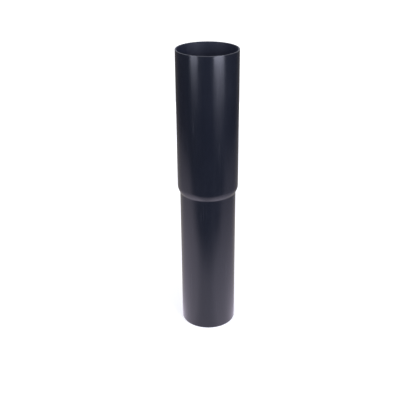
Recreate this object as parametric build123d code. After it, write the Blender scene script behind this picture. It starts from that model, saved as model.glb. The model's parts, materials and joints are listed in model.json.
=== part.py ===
"""Downpipe length: a plastic rainwater pipe with a long belled socket on its upper half.

The pipe is one piece. Its lower half, the spigot, is plain round pipe that stands in a drain or in the socket
of the next pipe. Its upper half is the same pipe opened out over a mandrel, so that the end of the downpipe
above drops into it and slides. Between the two is a rounded shoulder: the wall leaves the socket on a large
crown arc and meets the spigot on a small root arc, inside as well as outside.

Frame: the pipe stands on its spigot end, +Z is up towards the socket's mouth, and the origin is the centre of
the spigot's end face. Sizes are in millimetres.
"""

import math
import os

from build123d import *

# Spigot, the plain lower half
SPIGOT_OUTER_DIAMETER = 75.0
SPIGOT_WALL = 1.8

# Socket, the belled upper half. Opening the pipe out thins its wall a little.
SOCKET_CLEARANCE = 1.5  # all round a pipe of the spigot's size, so that it drops in and slides
SOCKET_WALL = 1.7

# Lengths along the pipe
OVERALL_LENGTH = 390.0
SOCKET_LENGTH = 182.0  # the straight part, from the mouth down to the shoulder

# Shoulder, as the outer wall's two arcs
CROWN_RADIUS = 16.0  # where the socket's wall turns in
ROOT_RADIUS = 2.5  # where it meets the spigot's wall

# Ends, sawn square and then trimmed
MOUTH_LEAD_IN = 0.5  # bevel inside the mouth, which guides the pipe above
MOUTH_EDGE_RADIUS = 0.35  # worn round outside the mouth
SPIGOT_BEVEL_HEIGHT = 1.2  # steep bevel outside the spigot's end
SPIGOT_BEVEL_DEPTH = 0.5
SPIGOT_INNER_BEVEL = 0.3  # burr cut off inside the spigot's end


def on_circle(centre, radius, angle):
    """The point of a circle at an angle from the radius axis."""
    return (centre[0] + radius * math.cos(angle), centre[1] + radius * math.sin(angle))


def ogee(wide_radius, narrow_radius, start_height, crown_radius, root_radius):
    """The S-shaped line from a wide wall down to a narrow one, as its crown arc and its root arc.

    The crown arc leaves the wide wall without a kink, the root arc joins the narrow wall without one, and the
    two meet where both lean by the same angle. Points are (radius, height), and the arcs run downwards.
    """
    step = wide_radius - narrow_radius
    lean = math.acos(1 - step / (crown_radius + root_radius))

    crown_centre = (wide_radius - crown_radius, start_height)
    crown_end = on_circle(crown_centre, crown_radius, -lean)

    foot_height = start_height - (crown_radius + root_radius) * math.sin(lean)
    root_centre = (narrow_radius + root_radius, foot_height)
    foot = (narrow_radius, foot_height)

    crown = ThreePointArc(
        (wide_radius, start_height),
        on_circle(crown_centre, crown_radius, -lean / 2),
        crown_end,
    )
    root = ThreePointArc(
        crown_end,
        on_circle(root_centre, root_radius, math.pi - lean / 2),
        foot,
    )
    return crown, root


def wall_section():
    """Half of the pipe cut along its axis: the closed outline of one wall, in the XZ plane."""
    spigot_outer = SPIGOT_OUTER_DIAMETER / 2
    spigot_bore = spigot_outer - SPIGOT_WALL
    socket_bore = spigot_outer + SOCKET_CLEARANCE
    socket_outer = socket_bore + SOCKET_WALL
    shoulder_top = OVERALL_LENGTH - SOCKET_LENGTH

    outer_crown, outer_root = ogee(
        socket_outer, spigot_outer, shoulder_top, CROWN_RADIUS, ROOT_RADIUS
    )
    inner_crown, inner_root = ogee(
        socket_bore,
        spigot_bore,
        shoulder_top,
        CROWN_RADIUS - SOCKET_WALL,
        ROOT_RADIUS + SPIGOT_WALL,
    )

    mouth_outer_edge = (socket_outer - MOUTH_EDGE_RADIUS, OVERALL_LENGTH)
    mouth_outer_side = (socket_outer, OVERALL_LENGTH - MOUTH_EDGE_RADIUS)
    mouth_edge_middle = on_circle(
        (mouth_outer_edge[0], mouth_outer_side[1]), MOUTH_EDGE_RADIUS, math.pi / 4
    )
    mouth_inner_edge = (socket_bore + MOUTH_LEAD_IN, OVERALL_LENGTH)
    mouth_inner_side = (socket_bore, OVERALL_LENGTH - MOUTH_LEAD_IN)

    outer_wall = [
        Line(mouth_inner_edge, mouth_outer_edge),
        ThreePointArc(mouth_outer_edge, mouth_edge_middle, mouth_outer_side),
        Line(mouth_outer_side, outer_crown @ 0),
        outer_crown,
        outer_root,
    ]
    spigot_end = Polyline(
        outer_root @ 1,
        (spigot_outer, SPIGOT_BEVEL_HEIGHT),
        (spigot_outer - SPIGOT_BEVEL_DEPTH, 0),
        (spigot_bore + SPIGOT_INNER_BEVEL, 0),
        (spigot_bore, SPIGOT_INNER_BEVEL),
        inner_root @ 1,
    )
    inner_wall = [
        inner_root,
        inner_crown,
        Line(inner_crown @ 0, mouth_inner_side),
        Line(mouth_inner_side, mouth_inner_edge),
    ]
    return Plane.XZ * make_face([*outer_wall, spigot_end, *inner_wall])


def make_downpipe():
    """The wall section turned once round the pipe's axis."""
    return revolve(wall_section(), Axis.Z, 360)


os.makedirs("parts", exist_ok=True)
export_step(make_downpipe(), "parts/downpipe.step")
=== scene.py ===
"""Downpipe: a round plastic rainwater pipe, plain below and belled above, in a plain studio.

The pipe is one piece of extruded plastic, whose upper half was heated and opened over a mandrel. The skin
keeps the die's long faint lines, the wall is slightly uneven round the pipe, and both ends show the saw.

All lengths are in metres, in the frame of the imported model: the pipe stands on its spigot end, and +Z runs up
to the mouth. The camera stands on the -Y side.
"""

import json
import logging
import math
from dataclasses import dataclass
from enum import Enum
from typing import Any

import bpy
import numpy as np
from mathutils import Euler, Matrix, Vector

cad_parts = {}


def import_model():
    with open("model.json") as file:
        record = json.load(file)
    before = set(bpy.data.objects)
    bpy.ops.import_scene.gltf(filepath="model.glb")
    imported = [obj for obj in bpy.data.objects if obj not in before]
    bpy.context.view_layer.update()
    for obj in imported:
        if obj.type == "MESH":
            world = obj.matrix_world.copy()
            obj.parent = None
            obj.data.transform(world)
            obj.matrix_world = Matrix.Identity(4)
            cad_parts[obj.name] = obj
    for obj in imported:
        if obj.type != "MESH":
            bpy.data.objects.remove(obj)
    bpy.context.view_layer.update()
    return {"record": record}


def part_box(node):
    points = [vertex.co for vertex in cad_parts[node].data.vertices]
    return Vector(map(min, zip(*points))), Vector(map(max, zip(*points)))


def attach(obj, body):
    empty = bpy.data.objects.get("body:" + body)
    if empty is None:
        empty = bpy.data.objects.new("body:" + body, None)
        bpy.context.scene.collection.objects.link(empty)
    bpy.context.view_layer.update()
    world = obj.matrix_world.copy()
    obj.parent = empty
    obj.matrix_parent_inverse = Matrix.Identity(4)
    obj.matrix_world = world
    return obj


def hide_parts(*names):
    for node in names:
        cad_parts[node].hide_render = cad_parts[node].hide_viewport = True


LOG = logging.getLogger("downpipe")
MILLIMETRE = 0.001
FULL_TURN = 2 * math.pi
PLASTIC_REFRACTION = 1.52
LAMP_TINT = (0.80, 0.82, 1.0)

Socket = bpy.types.NodeSocket
Pair = tuple[float, float]
Triple = tuple[float, float, float]
Tint = tuple[float, float, float, float]
Value = Socket | float | Triple | Tint


class Zone(Enum):
    """The three kinds of surface on the pipe, numbered as their material slots."""

    OUTSIDE = 0
    INSIDE = 1
    SAWN = 2


@dataclass(frozen=True)
class Pattern:
    """A soft noise: its lumps in a metre, the scale of each axis, and how many finer layers it has.

    An axis with a small scale draws the pattern out along it.
    """

    per_metre: float
    scale: Triple = (1.0, 1.0, 1.0)
    layers: float = 2.0


class NodeSheet:
    """Adds and joins the nodes of one material or world."""

    def __init__(self, owner: bpy.types.Material | bpy.types.World) -> None:
        """Start with an empty node tree.

        Args:
            owner: the material or world whose nodes are made.
        """
        owner.use_nodes = True
        self.tree = owner.node_tree
        self.tree.nodes.clear()

    def add(self, kind: str, values: dict[str, Value] | None = None, **settings: Any) -> bpy.types.Node:
        """Add one node.

        Args:
            kind: the node's Blender type.
            values: its input sockets by name. A socket in place of a number is linked.
            settings: the node's own properties.

        Returns:
            The new node.
        """
        node = self.tree.nodes.new(kind)
        for name, value in settings.items():
            setattr(node, name, value)
        for name, value in (values or {}).items():
            self.feed(node.inputs[name], value)
        return node

    def feed(self, socket: Socket, value: Value) -> None:
        """Give an input socket a number, or link it to an output socket."""
        if isinstance(value, Socket):
            self.tree.links.new(value, socket)
        else:
            socket.default_value = value

    def place(self) -> Socket:
        """The point on the piece, in metres."""
        return self.add("ShaderNodeTexCoord").outputs["Object"]

    def noise(self, place: Socket, pattern: Pattern) -> Socket:
        """Read a noise pattern.

        Args:
            place: where the pattern is read, in metres.
            pattern: the noise's size, scales and layers.

        Returns:
            The pattern's value, from 0 to 1.
        """
        scaled = self.add("ShaderNodeMapping", {"Vector": place, "Scale": pattern.scale}).outputs["Vector"]
        values = {"Vector": scaled, "Scale": pattern.per_metre, "Detail": pattern.layers}
        return self.add("ShaderNodeTexNoise", values).outputs[0]

    def spread(
        self, value: Socket, low: float, high: float, to_low: Value = 0.0, to_high: Value = 1.0
    ) -> Socket:
        """Make a smooth step of a value.

        Args:
            value: the value that is read.
            low: where the step starts.
            high: where the step ends.
            to_low: the result up to the start.
            to_high: the result from the end on.

        Returns:
            The step's result, which never leaves the range between the two results.
        """
        values = {"Value": value, "From Min": low, "From Max": high, "To Min": to_low, "To Max": to_high}
        node = self.add("ShaderNodeMapRange", values, interpolation_type="SMOOTHSTEP")
        return node.outputs["Result"]

    def maths(self, operation: str, first: Value, second: Value = 0.0) -> Socket:
        """Work out one sum, product or other operation.

        Args:
            operation: the operation's Blender name.
            first: its first value.
            second: its second value, where it has one.

        Returns:
            The operation's result.
        """
        node = self.add("ShaderNodeMath", operation=operation)
        self.feed(node.inputs[0], first)
        self.feed(node.inputs[1], second)
        return node.outputs["Value"]

    def blend(self, share: Value, first: Value, second: Value) -> Socket:
        """Blend two colours.

        Args:
            share: how much of the second colour there is, from 0 to 1.
            first: the first colour.
            second: the second colour.

        Returns:
            The blended colour.
        """
        node = self.add("ShaderNodeMix", data_type="RGBA")
        self.feed(node.inputs[0], share)
        self.feed(node.inputs[6], first)
        self.feed(node.inputs[7], second)
        return node.outputs[2]

    def bump(self, height: Socket, depth: float, under: Socket | None = None) -> Socket:
        """A bumped normal.

        Args:
            height: the pattern, from 0 to 1.
            depth: the height of its highest place, in metres.
            under: the normal that this one is added to.

        Returns:
            The normal.
        """
        node = self.add("ShaderNodeBump", {"Height": height, "Distance": depth})
        if under is not None:
            self.feed(node.inputs["Normal"], under)
        return node.outputs["Normal"]


def colour(red: float, green: float, blue: float) -> Tint:
    """An opaque colour from its linear shares."""
    return (red, green, blue, 1.0)


@dataclass(frozen=True)
class PlasticFinish:
    """A skin of the pipe's plastic, as it left the die or the mandrel.

    A range says where a pattern starts to show and where it shows in full. A dulling is what the pattern adds
    to the roughness.
    """

    name: str
    tint: Tint
    bloom: Tint
    roughness: float
    line_depth: float
    peel_depth: float
    ring_depth: float
    lines: Pattern = Pattern(420.0, (1.0, 1.0, 0.02), 3.0)
    peel: Pattern = Pattern(1100.0)
    patches: Pattern = Pattern(38.0, (1.0, 1.0, 0.25), 3.0)
    rings: Pattern = Pattern(240.0, (0.05, 0.05, 1.0))
    waves: Pattern = Pattern(130.0, (1.0, 1.0, 0.006), 1.0)
    rubbing: Pattern = Pattern(60.0, (1.0, 1.0, 0.4), 1.0)
    bloom_range: Pair = (0.3, 0.75)
    patch_range: Pair = (0.35, 0.8)
    line_range: Pair = (0.35, 0.7)
    rubbed_range: Pair = (0.56, 0.68)
    heated_above: Pair = (0.180, 0.192)
    hair_width: float = 0.010
    patch_dulling: float = 0.08
    line_dulling: float = 0.03
    heat_dulling: float = 0.008
    scuff_dulling: float = 0.08
    scuff_share: float = 0.22
    worn_roughness: float = 0.38
    scuff_tint: Tint = colour(0.030, 0.032, 0.040)
    worn_tint: Tint = colour(0.035, 0.037, 0.045)

    def material(self) -> bpy.types.Material:
        """Build the finish's nodes.

        Returns:
            A material with the die's long lines, the mandrel's faint rings on the heated half, the skin's
            fine unevenness, dull patches, hairline scuffs and worn edges.
        """
        made = bpy.data.materials.new(self.name)
        sheet = NodeSheet(made)
        place = sheet.place()
        lines = sheet.noise(place, self.lines)
        peel = sheet.noise(place, self.peel)
        patches = sheet.noise(place, self.patches)
        height = sheet.add("ShaderNodeSeparateXYZ", {"Vector": place}).outputs["Z"]
        heated = sheet.spread(height, *self.heated_above)
        rings = sheet.maths("MULTIPLY", sheet.noise(place, self.rings), heated)
        scuffs = self.scuffs(sheet, place)
        worn = sheet.add("ShaderNodeAttribute", attribute_name="wear").outputs["Fac"]

        skin = sheet.blend(sheet.spread(patches, *self.bloom_range), self.tint, self.bloom)
        rubbed = sheet.blend(sheet.maths("MULTIPLY", scuffs, self.scuff_share), skin, self.scuff_tint)
        edge = sheet.blend(worn, rubbed, self.worn_tint)

        dullest = self.roughness + self.patch_dulling
        rough = sheet.spread(patches, *self.patch_range, self.roughness, dullest)
        rough = sheet.maths("ADD", rough, sheet.spread(lines, *self.line_range, 0.0, self.line_dulling))
        rough = sheet.maths("ADD", rough, sheet.maths("MULTIPLY", heated, self.heat_dulling))
        rough = sheet.maths("ADD", rough, sheet.maths("MULTIPLY", scuffs, self.scuff_dulling))
        rough = sheet.maths("MAXIMUM", rough, sheet.maths("MULTIPLY", worn, self.worn_roughness))

        normal = sheet.bump(lines, self.line_depth)
        normal = sheet.bump(rings, self.ring_depth, normal)
        normal = sheet.bump(peel, self.peel_depth, normal)
        shader = sheet.add("ShaderNodeBsdfPrincipled", {
            "Base Color": edge,
            "Roughness": rough,
            "IOR": PLASTIC_REFRACTION,
            "Normal": normal,
        })
        sheet.add("ShaderNodeOutputMaterial", {"Surface": shader.outputs["BSDF"]})
        return made

    def scuffs(self, sheet: NodeSheet, place: Socket) -> Socket:
        """Straight hairline scuffs from sliding.

        They are the contour lines of a drawn-out noise at its middle value, where a second noise is high.

        Args:
            sheet: the material's nodes.
            place: the point on the piece.

        Returns:
            1 on a scuff, and 0 between them.
        """
        waves = sheet.noise(place, self.waves)
        off_line = sheet.maths("ABSOLUTE", sheet.maths("SUBTRACT", waves, 0.5))
        hair = sheet.spread(off_line, 0.0, self.hair_width, 1.0, 0.0)
        rubbed = sheet.spread(sheet.noise(place, self.rubbing), *self.rubbed_range)
        return sheet.maths("MULTIPLY", hair, rubbed)


@dataclass(frozen=True)
class SawnFinish:
    """A sawn end: duller than the skin, with the saw's fine marks across it."""

    name: str
    tint: Tint
    roughness: float = 0.36
    grain_dulling: float = 0.12
    paler: float = 1.6
    marks: Pattern = Pattern(900.0, (1.0, 0.06, 1.0), 3.0)
    grain: Pattern = Pattern(300.0, layers=3.0)
    mark_range: Pair = (0.35, 0.7)
    grain_range: Pair = (0.3, 0.7)
    mark_depth: float = 0.04 * MILLIMETRE

    def material(self) -> bpy.types.Material:
        """Build the finish's nodes.

        Returns:
            A material with fine straight saw marks.
        """
        made = bpy.data.materials.new(self.name)
        sheet = NodeSheet(made)
        place = sheet.place()
        marks = sheet.noise(place, self.marks)
        grain = sheet.noise(place, self.grain)
        pale = colour(*(self.paler * share for share in self.tint[:3]))
        dullest = self.roughness + self.grain_dulling
        shader = sheet.add("ShaderNodeBsdfPrincipled", {
            "Base Color": sheet.blend(sheet.spread(marks, *self.mark_range), self.tint, pale),
            "Roughness": sheet.spread(grain, *self.grain_range, self.roughness, dullest),
            "IOR": PLASTIC_REFRACTION,
            "Normal": sheet.bump(marks, self.mark_depth),
        })
        sheet.add("ShaderNodeOutputMaterial", {"Surface": shader.outputs["BSDF"]})
        return made


@dataclass(frozen=True)
class Stretch:
    """A run of the wall's outline, from its first point up to where the next run starts.

    Points are rows of radius and height. A sharp run starts at a crease.
    """

    points: np.ndarray
    zone: Zone
    sharp: bool = False


def straight(start: Pair, end: Pair, longest: float) -> np.ndarray:
    """Evenly spaced points from one place towards another, without the last.

    Args:
        start: the first point.
        end: the place that the points lead to.
        longest: the longest step between two points.

    Returns:
        Rows of radius and height.
    """
    length = math.dist(start, end)
    count = max(1, math.ceil(length / longest))
    share = np.arange(count)[:, None] / count
    return np.array(start) + share * (np.array(end) - np.array(start))


def arc(centre: Pair, radius: float, start: float, end: float, count: int) -> np.ndarray:
    """Points on a circle from one angle towards another, without the last.

    Each point is the centre plus the radius times the cosine and sine of its angle.

    Args:
        centre: the circle's centre.
        radius: its radius.
        start: the first point's angle, in radians.
        end: the angle that the points lead to, in radians.
        count: how many points there are.

    Returns:
        Rows of radius and height.
    """
    angle = start + (end - start) * np.arange(count) / count
    return np.array(centre) + radius * np.column_stack([np.cos(angle), np.sin(angle)])


@dataclass(frozen=True)
class PipeSizes:
    """The pipe's radii and heights, read from the frame."""

    length: float
    socket_outer: float
    socket_bore: float
    spigot_outer: float
    spigot_bore: float
    shoulder_top: float
    crown_radius: float = 16.0 * MILLIMETRE
    root_radius: float = 2.5 * MILLIMETRE
    mouth_lead_in: float = 0.5 * MILLIMETRE
    mouth_edge_radius: float = 0.35 * MILLIMETRE
    spigot_bevel_height: float = 1.2 * MILLIMETRE
    spigot_bevel_depth: float = 0.5 * MILLIMETRE
    spigot_inner_bevel: float = 0.3 * MILLIMETRE

    @classmethod
    def from_frame(cls, record: dict[str, Any]) -> "PipeSizes":
        """Take the pipe's box and its mounts.

        Args:
            record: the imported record, whose mounts state the bores and the spigot.

        Returns:
            The sizes that the solid has.
        """
        low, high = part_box("downpipe")
        mounts = {mount["name"]: mount for mount in record["mounts"]}
        socket = mounts["socket_bore"]["dims"]
        return cls(
            length=high.z - low.z,
            socket_outer=high.x,
            socket_bore=socket["r_mm"] * MILLIMETRE,
            spigot_outer=mounts["spigot"]["dims"]["r_mm"] * MILLIMETRE,
            spigot_bore=mounts["waterway"]["dims"]["r_mm"] * MILLIMETRE,
            shoulder_top=high.z - cls.mouth_lead_in - socket["length_mm"] * MILLIMETRE,
        )


@dataclass(frozen=True)
class Shoulder:
    """The S-shaped line between the socket's wall and the spigot's, as a crown arc and a root arc."""

    wide: float
    narrow: float
    top: float
    crown_radius: float
    root_radius: float

    @property
    def lean(self) -> float:
        """The angle at which the two arcs meet."""
        return math.acos(1 - (self.wide - self.narrow) / (self.crown_radius + self.root_radius))

    @property
    def foot(self) -> float:
        """The height at which the root arc ends."""
        return self.top - (self.crown_radius + self.root_radius) * math.sin(self.lean)

    def downwards(self, count: int) -> np.ndarray:
        """Points from the wide wall down to the narrow one.

        Args:
            count: how many points each arc has.

        Returns:
            Rows of radius and height.
        """
        crown = arc((self.wide - self.crown_radius, self.top), self.crown_radius, 0.0, -self.lean, count)
        middle = (self.narrow + self.root_radius, self.foot)
        root = arc(middle, self.root_radius, math.pi - self.lean, math.pi, count)
        return np.vstack([crown, root])


@dataclass
class Downpipe:
    """The pipe's wall, turned round its axis, with the unevenness that extrusion leaves."""

    sizes: PipeSizes
    around: int = 360
    longest_step: float = 6.0 * MILLIMETRE
    finest_step: float = 0.2 * MILLIMETRE
    arc_steps: int = 14
    edge_steps: int = 6
    seed: int = 11
    uneven_depth: float = 0.10 * MILLIMETRE
    uneven_orders: tuple[int, ...] = (2, 3, 5, 7, 9, 12, 16, 21)
    uneven_falloff: float = 1.25
    uneven_drift: float = 7.0
    pulses: tuple[tuple[int, float], ...] = ((0, 74.0), (1, 101.0), (2, 55.0))
    pulse_depth: float = 0.02 * MILLIMETRE
    toe_in: float = 0.08 * MILLIMETRE
    toe_reach: float = 5.0 * MILLIMETRE
    wear_reach: float = 0.4 * MILLIMETRE

    def outline(self) -> list[Stretch]:
        """Draw the closed outline of one wall.

        It runs across the mouth, down the outside, across the spigot's end and up the inside. The steps are
        fine wherever the wear fades, which takes three times its reach.

        Returns:
            The outline's runs, in order.
        """
        size = self.sizes
        outer = Shoulder(size.socket_outer, size.spigot_outer, size.shoulder_top,
                         size.crown_radius, size.root_radius)
        inner = Shoulder(size.socket_bore, size.spigot_bore, size.shoulder_top,
                         size.crown_radius - (size.socket_outer - size.socket_bore),
                         size.root_radius + (size.spigot_outer - size.spigot_bore))
        edge = size.mouth_edge_radius
        lead_in_top = (size.socket_bore + size.mouth_lead_in, size.length)
        lead_in_foot = (size.socket_bore, size.length - size.mouth_lead_in)
        edge_top = (size.socket_outer - edge, size.length)
        edge_side = (size.socket_outer, size.length - edge)
        edge_middle = (edge_top[0], edge_side[1])
        edge_foot = (size.socket_outer, size.length - edge - 3 * self.wear_reach)
        bevel_top = (size.spigot_outer, size.spigot_bevel_height)
        bevel_foot = (size.spigot_outer - size.spigot_bevel_depth, 0.0)
        burr_foot = (size.spigot_bore + size.spigot_inner_bevel, 0.0)
        burr_top = (size.spigot_bore, size.spigot_inner_bevel)
        fine = self.finest_step
        inner_foot = (inner.narrow, inner.foot)
        inner_line = np.vstack([inner.downwards(self.arc_steps), [inner_foot]])[::-1]
        return [
            Stretch(straight(lead_in_top, edge_top, fine), Zone.SAWN, sharp=True),
            Stretch(arc(edge_middle, edge, math.pi / 2, 0.0, self.edge_steps), Zone.OUTSIDE),
            Stretch(straight(edge_side, edge_foot, fine), Zone.OUTSIDE),
            Stretch(straight(edge_foot, (size.socket_outer, outer.top), self.longest_step), Zone.OUTSIDE),
            Stretch(outer.downwards(self.arc_steps), Zone.OUTSIDE),
            Stretch(straight((outer.narrow, outer.foot), bevel_top, self.longest_step), Zone.OUTSIDE),
            Stretch(straight(bevel_top, bevel_foot, fine), Zone.OUTSIDE, sharp=True),
            Stretch(straight(bevel_foot, burr_foot, fine), Zone.SAWN, sharp=True),
            Stretch(straight(burr_foot, burr_top, fine), Zone.INSIDE, sharp=True),
            Stretch(straight(burr_top, inner_foot, self.longest_step), Zone.INSIDE, sharp=True),
            Stretch(inner_line[:-1], Zone.INSIDE),
            Stretch(straight((inner.wide, inner.top), lead_in_foot, self.longest_step), Zone.INSIDE),
            Stretch(straight(lead_in_foot, lead_in_top, fine), Zone.INSIDE, sharp=True),
        ]

    def unevenness(self, angle: np.ndarray, height: np.ndarray) -> np.ndarray:
        """How far the wall stands inside the true circle.

        The sum of cosines of the angle times each order, each with its own phase, which drifts along the
        pipe, and a size that falls with the order. Pulses of the extruder's draw are cosines of the height
        times a rate, and the wall toes in a little towards the mouth, by an exponential of the height below
        it. Each sum is shifted so that it is never below nothing.

        Args:
            angle: the angle round the axis, in radians.
            height: the height above the spigot's end.

        Returns:
            The inward step at each place, in metres.
        """
        draw = np.random.default_rng(self.seed)
        total = np.zeros(np.broadcast(angle, height).shape)
        bound = 0.0
        for order in self.uneven_orders:
            phase = draw.uniform(0, FULL_TURN)
            drift = draw.uniform(-self.uneven_drift, self.uneven_drift)
            share = order ** -self.uneven_falloff
            total += share * np.cos(order * angle + phase + drift * height)
            bound += share
        inward = self.uneven_depth * (1 + total / bound) / 2
        for order, rate in self.pulses:
            phase = draw.uniform(0, FULL_TURN)
            inward = inward + self.pulse_depth * (1 + np.cos(order * angle + phase + rate * height)) / 2
        return inward + self.toe_in * np.exp((height - self.sizes.length) / self.toe_reach)

    def surface(self, profile: np.ndarray) -> np.ndarray:
        """The wall as a grid of points.

        Each outline point is carried round the axis: its radius, less the unevenness there, times the
        cosine and sine of the angle, at its own height.

        Args:
            profile: rows of radius and height.

        Returns:
            Points by outline place, angle and axis.
        """
        angle = (np.arange(self.around) * FULL_TURN / self.around)[None, :]
        radius, height = profile[:, 0][:, None], profile[:, 1][:, None]
        radius = radius - self.unevenness(angle, height)
        lift = np.broadcast_to(height, radius.shape)
        return np.stack([radius * np.cos(angle), radius * np.sin(angle), lift], axis=-1)

    def wear(self, profile: np.ndarray) -> np.ndarray:
        """How worn each outline point is.

        The wear falls off as a bell curve from the outer corners of both ends. The mouth's corner is taken at
        the middle of its round, which lies 0.3 of its radius in from both faces.

        Args:
            profile: rows of radius and height.

        Returns:
            1 at a corner, and less with distance.
        """
        size = self.sizes
        inset = 0.3 * size.mouth_edge_radius
        corners = np.array([
            (size.socket_outer - inset, size.length - inset),
            (size.spigot_outer - size.spigot_bevel_depth, 0.0),
        ])
        distance = np.linalg.norm(profile[:, None, :] - corners[None, :, :], axis=-1).min(axis=1)
        return np.exp(-((distance / self.wear_reach) ** 2))

    def build(self) -> bpy.types.Object:
        """Make the pipe's mesh and dress it.

        Returns:
            The finished piece, with its place in its mesh.
        """
        stretches = self.outline()
        profile = np.vstack([stretch.points for stretch in stretches])
        counts = [len(stretch.points) for stretch in stretches]
        zones = np.repeat([stretch.zone.value for stretch in stretches], counts)
        starts = np.concatenate([[0], np.cumsum(counts)[:-1]])
        creases = starts[[stretch.sharp for stretch in stretches]]

        points = self.surface(profile)
        rings = len(profile)
        ring, step = np.meshgrid(np.arange(rings), np.arange(self.around), indexing="ij")
        next_ring, next_step = (ring + 1) % rings, (step + 1) % self.around
        faces = np.stack([
            ring * self.around + step,
            next_ring * self.around + step,
            next_ring * self.around + next_step,
            ring * self.around + next_step,
        ], axis=-1).reshape(-1, 4)

        mesh = bpy.data.meshes.new("downpipe_wall")
        mesh.from_pydata(points.reshape(-1, 3).tolist(), [], faces.tolist())
        mesh.polygons.foreach_set("use_smooth", np.ones(len(faces), bool))
        mesh.polygons.foreach_set("material_index", np.repeat(zones, self.around).astype(np.int32))
        self.crease(mesh, creases)
        worn = mesh.attributes.new("wear", "FLOAT", "POINT")
        worn.data.foreach_set("value", np.repeat(self.wear(profile), self.around).astype(np.float32))
        for finish in FINISHES:
            mesh.materials.append(finish.material())
        mesh.validate()

        pipe = bpy.data.objects.new("downpipe_pipe", mesh)
        bpy.context.scene.collection.objects.link(pipe)
        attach(pipe, "root")
        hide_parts("downpipe")
        return pipe

    def crease(self, mesh: bpy.types.Mesh, creases: np.ndarray) -> None:
        """Mark the edges that run round the pipe at the outline's corners as sharp.

        Args:
            mesh: the pipe's mesh, whose vertices lie in rings.
            creases: the rings that lie on a corner.
        """
        ends = np.empty(len(mesh.edges) * 2, np.int32)
        mesh.edges.foreach_get("vertices", ends)
        rings = ends.reshape(-1, 2) // self.around
        sharp = (rings[:, 0] == rings[:, 1]) & np.isin(rings[:, 0], creases)
        mesh.edges.foreach_set("use_edge_sharp", sharp)


FINISHES = (
    PlasticFinish(
        "outer_skin", colour(0.0077, 0.0096, 0.0153), colour(0.0098, 0.0117, 0.0178), roughness=0.165,
        line_depth=0.026 * MILLIMETRE, peel_depth=0.0022 * MILLIMETRE, ring_depth=0.012 * MILLIMETRE,
    ),
    # The bore's tints are painted about two and a half times lighter than the outer skin's, though it is the
    # same plastic: painted light that stands in for the light in the shaded bore.
    PlasticFinish(
        "bore_skin_painted_light", colour(0.0190, 0.0224, 0.0368), colour(0.0242, 0.0277, 0.0436), roughness=0.36,
        line_depth=0.036 * MILLIMETRE, peel_depth=0.004 * MILLIMETRE, ring_depth=0.016 * MILLIMETRE,
    ),
    SawnFinish("sawn_end", colour(0.014, 0.0155, 0.021)),
)


@dataclass(frozen=True)
class TableGlow:
    """The table's painted light, as the pipe's reflections see it: it fades to the front, the back and with
    distance.

    A pair says where a smooth step starts and where it ends, in metres or as the cosine of a direction. A
    share is what the step leaves of the light.
    """

    tint: Tint = colour(0.98, 0.90, 1.08)
    tint_behind: Tint = colour(1.03, 0.95, 0.93)
    front: Pair = (-0.335, -0.145)
    reach: Pair = (-0.35, 0.95)
    brightness: Pair = (2.00, 0.30)
    facing: Pair = (0.78, 1.0)
    facing_turn: float = -8.0
    facing_share: float = 0.69
    behind: Pair = (-1.0, 0.40)
    behind_shares: Pair = (0.38, 0.40)
    behind_reach: Pair = (0.10, 0.45)
    right: Pair = (-0.06, 0.54)
    right_share: float = 0.50
    pool_middle: Triple = (0.0, 0.22, 0.0)
    pool_edge: Pair = (0.67, 0.76)
    pool_share: float = 0.12
    room: Pair = (0.17, 0.03)
    room_range: Pair = (-0.95, -0.40)
    tint_range: Pair = (-0.9, -0.3)

    def light(self, sheet: NodeSheet) -> tuple[Socket, Socket]:
        """The table's tint and brightness at each place on it.

        The brightness is painted light, a product of smooth steps: over the table's front edge, over the
        distance from the pipe, over the side that faces the camera, where a painted shade dims it, over the
        side behind the pipe, where a painted shade dims it more, over the right side and over the edge of a
        painted round pool of light. A little of the room's light is added, more of it behind the pipe, where
        the tint turns plainer.

        Args:
            sheet: the floor material's nodes.

        Returns:
            The tint, and the brightness, where 1 is white.
        """
        place = sheet.place()
        axes = sheet.add("ShaderNodeSeparateXYZ", {"Vector": place}).outputs
        away = sheet.add("ShaderNodeVectorMath", {"Vector": place}, operation="LENGTH").outputs["Value"]
        direction = self.towards(sheet, place, away, 0.0)
        facing = self.towards(sheet, place, away, self.facing_turn)
        from_pool = sheet.add("ShaderNodeVectorMath", operation="DISTANCE")
        sheet.feed(from_pool.inputs[0], place)
        sheet.feed(from_pool.inputs[1], self.pool_middle)
        share = sheet.spread(away, *self.behind_reach, *self.behind_shares)
        steps = [
            sheet.spread(axes["Y"], *self.front),
            sheet.spread(away, *self.reach, *self.brightness),
            sheet.spread(facing, *self.facing, 1.0, self.facing_share),
            sheet.spread(direction, *self.behind, share, 1.0),
            sheet.spread(axes["X"], *self.right, 1.0, self.right_share),
            sheet.spread(from_pool.outputs["Value"], *self.pool_edge, 1.0, self.pool_share),
        ]
        product = steps[0]
        for step in steps[1:]:
            product = sheet.maths("MULTIPLY", product, step)
        tint = sheet.blend(sheet.spread(direction, *self.tint_range), self.tint_behind, self.tint)
        return tint, sheet.maths("ADD", product, sheet.spread(direction, *self.room_range, *self.room))

    def towards(self, sheet: NodeSheet, place: Socket, away: Socket, turn: float) -> Socket:
        """How far a place lies towards the camera's side.

        Args:
            sheet: the floor material's nodes.
            place: the place on the table.
            away: its distance from the pipe's axis.
            turn: how far the side is turned towards +X, in degrees.

        Returns:
            The cosine of the angle between the place and that side, seen from the pipe's axis.
        """
        side = (math.sin(math.radians(turn)), -math.cos(math.radians(turn)), 0.0)
        along = sheet.add("ShaderNodeVectorMath", operation="DOT_PRODUCT")
        sheet.feed(along.inputs[0], place)
        sheet.feed(along.inputs[1], side)
        return sheet.maths("DIVIDE", along.outputs["Value"], away)


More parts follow.
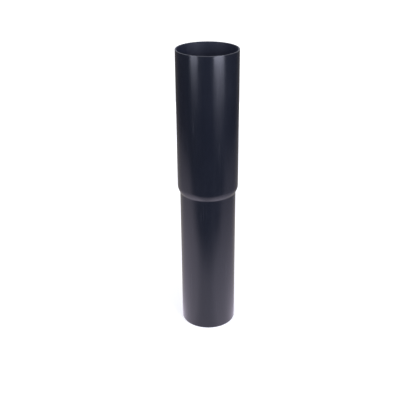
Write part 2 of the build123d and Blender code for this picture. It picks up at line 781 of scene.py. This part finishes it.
@dataclass(frozen=True)
class StudioFloor:
    """The pale table under the pipe: white to the eye, with the pipe's shadow kept."""

    glow: TableGlow
    half_width: float = 9.0
    albedo: float = 0.8
    near_fill: float = 0.53
    far_fill: float = 0.90
    fill_reach: Pair = (0.1, 2.0)
    drop: float = 0.04 * MILLIMETRE

    def material(self) -> bpy.types.Material:
        """A dull white with light of its own for the camera, and the table's painted light for reflections."""
        made = bpy.data.materials.new("studio_sheet")
        sheet = NodeSheet(made)
        rays = sheet.add("ShaderNodeLightPath").outputs
        seen = sheet.maths("MAXIMUM", rays["Is Camera Ray"], rays["Is Transmission Ray"])
        dull = sheet.add("ShaderNodeBsdfDiffuse", {"Color": colour(self.albedo, self.albedo, self.albedo)})
        place = sheet.place()
        away = sheet.add("ShaderNodeVectorMath", {"Vector": place}, operation="LENGTH").outputs["Value"]
        fill = sheet.spread(away, *self.fill_reach, self.near_fill, self.far_fill)
        white = sheet.add("ShaderNodeEmission", {"Strength": sheet.maths("MULTIPLY", seen, fill)})
        direct = sheet.add("ShaderNodeAddShader")
        sheet.feed(direct.inputs[0], dull.outputs[0])
        sheet.feed(direct.inputs[1], white.outputs[0])
        tint, strength = self.glow.light(sheet)
        mirrored = sheet.add("ShaderNodeEmission", {"Color": tint, "Strength": strength})
        mixed = sheet.add("ShaderNodeMixShader", {"Fac": rays["Is Glossy Ray"]})
        sheet.feed(mixed.inputs[1], direct.outputs[0])
        sheet.feed(mixed.inputs[2], mirrored.outputs[0])
        sheet.add("ShaderNodeOutputMaterial", {"Surface": mixed.outputs[0]})
        return made

    def build(self) -> None:
        """Lay the sheet just under the pipe's end."""
        side = self.half_width
        corners = [(-side, -side), (side, -side), (side, side), (-side, side)]
        mesh = bpy.data.meshes.new("studio_sheet")
        mesh.from_pydata([(x, y, -self.drop) for x, y in corners], [], [(0, 1, 2, 3)])
        mesh.materials.append(self.material())
        floor = bpy.data.objects.new("studio_sheet", mesh)
        bpy.context.scene.collection.objects.link(floor)


@dataclass(frozen=True)
class SoftBox:
    """A flat soft lamp that faces the pipe."""

    name: str
    azimuth: float
    distance: float
    bottom: float
    top: float
    width: float
    watts: float

    def build(self) -> None:
        """Hang the lamp. Its azimuth is counted from the camera's side, positive towards +X."""
        lamp = bpy.data.lights.new(self.name, "AREA")
        lamp.shape = "RECTANGLE"
        lamp.size = self.width
        lamp.size_y = self.top - self.bottom
        lamp.energy = self.watts
        lamp.color = LAMP_TINT
        turn = math.radians(self.azimuth)
        holder = bpy.data.objects.new(self.name, lamp)
        holder.location = (
            self.distance * math.sin(turn),
            -self.distance * math.cos(turn),
            (self.top + self.bottom) / 2,
        )
        holder.rotation_euler = Euler((math.radians(90), 0, turn))
        holder.visible_camera = False
        bpy.context.scene.collection.objects.link(holder)


@dataclass(frozen=True)
class Overhead:
    """A large soft lamp above the pipe, which gives the floor its faint shadow."""

    place: Triple = (-0.25, -0.2, 1.8)
    side: float = 1.6
    watts: float = 7.0

    def build(self) -> None:
        """Hang the lamp, facing down."""
        lamp = bpy.data.lights.new("overhead", "AREA")
        lamp.shape = "SQUARE"
        lamp.size = self.side
        lamp.energy = self.watts
        holder = bpy.data.objects.new("overhead", lamp)
        holder.location = self.place
        holder.visible_camera = False
        holder.visible_glossy = False
        bpy.context.scene.collection.objects.link(holder)


@dataclass(frozen=True)
class Backdrop:
    """The room round the pipe: white to the eye, a dim even light, and a horizon to reflect."""

    tint: Tint = colour(0.93, 0.95, 1.06)
    even_light: float = 0.37
    seen_white: float = 1.03
    rise: Pair = (0.05, 0.60)
    mirrored: Pair = (1.15, 0.45)

    def build(self) -> None:
        """Set the world's nodes. In reflections it is brightest at the horizon and dims as it rises."""
        world = bpy.data.worlds.new("backdrop")
        bpy.context.scene.world = world
        sheet = NodeSheet(world)
        rays = sheet.add("ShaderNodeLightPath").outputs
        seen = sheet.maths("MAXIMUM", rays["Is Camera Ray"], rays["Is Transmission Ray"])
        strength = sheet.maths("MULTIPLY", seen, self.seen_white)
        white = sheet.add("ShaderNodeBackground", {"Color": colour(1.0, 1.0, 1.0), "Strength": strength})
        way = sheet.add("ShaderNodeTexCoord").outputs["Generated"]
        upwards = sheet.add("ShaderNodeSeparateXYZ", {"Vector": way}).outputs["Z"]
        horizon = sheet.spread(upwards, *self.rise, *self.mirrored)
        glossy = sheet.maths("MULTIPLY", rays["Is Glossy Ray"], horizon)
        diffuse = sheet.maths("MULTIPLY", rays["Is Diffuse Ray"], self.even_light)
        dim = sheet.maths("ADD", glossy, diffuse)
        room = sheet.add("ShaderNodeBackground", {"Color": self.tint, "Strength": dim})
        both = sheet.add("ShaderNodeAddShader")
        sheet.feed(both.inputs[0], white.outputs[0])
        sheet.feed(both.inputs[1], room.outputs[0])
        sheet.add("ShaderNodeOutputWorld", {"Surface": both.outputs[0]})


@dataclass(frozen=True)
class PictureCamera:
    """The camera, where the picture's perspective puts it."""

    frame_pixels: float = 415.0
    focal_pixels: float = 721.63
    place: Triple = (-0.000609, -0.89026, 0.59801)
    pitch: float = 25.575
    roll: float = -0.243
    sensor: float = 36.0
    clip: Pair = (0.01, 50.0)

    def build(self) -> None:
        """Make the camera and hand it to the scene."""
        lens = bpy.data.cameras.new("picture_camera")
        lens.sensor_width = self.sensor
        lens.lens = self.focal_pixels / self.frame_pixels * self.sensor
        lens.clip_start, lens.clip_end = self.clip
        camera = bpy.data.objects.new("picture_camera", lens)
        down = Euler((math.radians(90 - self.pitch), 0, 0)).to_matrix()
        turned = down @ Matrix.Rotation(math.radians(self.roll), 3, "Z")
        camera.matrix_world = Matrix.Translation(Vector(self.place)) @ turned.to_4x4()
        bpy.context.scene.collection.objects.link(camera)
        bpy.context.scene.camera = camera


SOFT_BOXES = (
    SoftBox("right_box", azimuth=41, distance=1.05, bottom=0.12, top=0.95, width=0.69, watts=12.6),
    SoftBox("left_box", azimuth=-47.5, distance=1.05, bottom=0.12, top=0.95, width=0.51, watts=6.1),
    SoftBox("back_box", azimuth=180, distance=1.05, bottom=0.08, top=0.46, width=0.36, watts=1.6),
)


def main() -> None:
    """Load the frame, build the pipe and its studio, and log the pipe's faces and each soft box's watts."""
    logging.basicConfig(level=logging.INFO, format="%(name)s: %(message)s")
    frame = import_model()
    scene = bpy.context.scene
    scene.view_settings.view_transform = "Standard"

    PictureCamera().build()
    pipe = Downpipe(PipeSizes.from_frame(frame["record"])).build()
    LOG.info("%s: %d faces", pipe.name, len(pipe.data.polygons))
    StudioFloor(TableGlow()).build()
    Backdrop().build()
    Overhead().build()
    for box in SOFT_BOXES:
        box.build()
        LOG.info("%s: %.0f W", box.name, box.watts)


if __name__ == "__main__":
    main()
